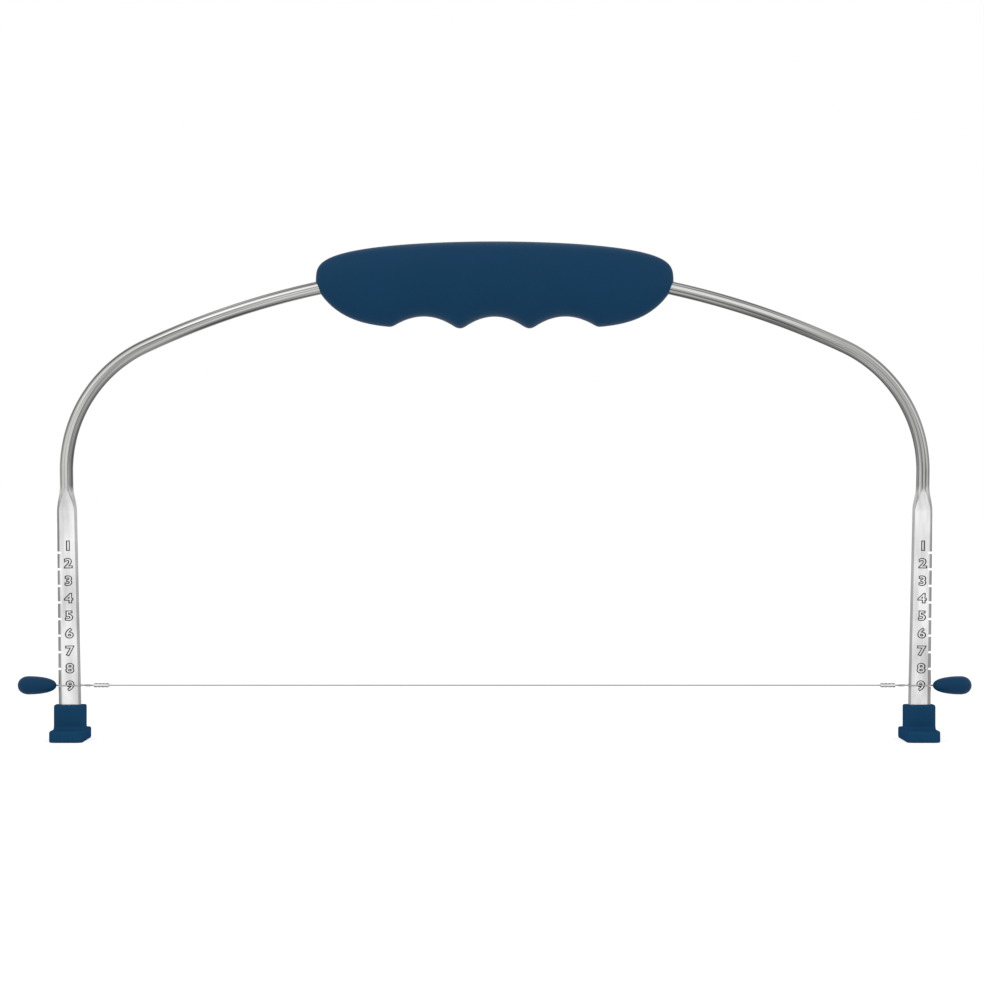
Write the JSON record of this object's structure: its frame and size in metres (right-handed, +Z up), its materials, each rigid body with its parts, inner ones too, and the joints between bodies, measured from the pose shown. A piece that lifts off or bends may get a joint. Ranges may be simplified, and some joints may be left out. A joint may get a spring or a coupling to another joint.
{
  "type": "cake leveler",
  "caption": "Cake leveler: a taut cutting wire across a bent steel bow with notched, numbered legs, a moulded finger-grip handle and two rubber feet.",
  "frame": {"origin": "on the table, midway between the two feet", "axes": "+X along the cutting wire towards the right leg, +Y from front to back, +Z up"},
  "size_m": [0.3568, 0.025, 0.1865],
  "materials": {
    "polished_steel": "polished bright steel with faint drawing lines, stamped scale on the flat legs",
    "handle_plastic": "smooth satin moulded plastic, dark blue",
    "foot_rubber": "soft satin moulded rubber, dark blue",
    "wire_steel": "bright drawn stainless wire",
    "crimp_metal": "plain swaged metal sleeve",
    "pull_plastic": "smooth satin moulded plastic, dark blue"
  },
  "bodies": {
    "frame": {"frame_rod": "polished_steel", "handle_front_shell": "handle_plastic", "handle_rear_shell": "handle_plastic", "left_foot": "foot_rubber", "right_foot": "foot_rubber"},
    "wire_set": {"cutting_wire": "wire_steel", "left_crimp": "crimp_metal", "right_crimp": "crimp_metal", "left_wire_loop": "wire_steel", "right_wire_loop": "wire_steel", "left_pull": "pull_plastic", "right_pull": "pull_plastic"}
  },
  "joints": [
    {"name": "wire_height", "type": "slide", "parent": "frame", "child": "wire_set", "axis": [0, 0, 1], "range_m": [0, 0.0496], "deforming": ["left_wire_loop", "right_wire_loop"]}
  ]
}
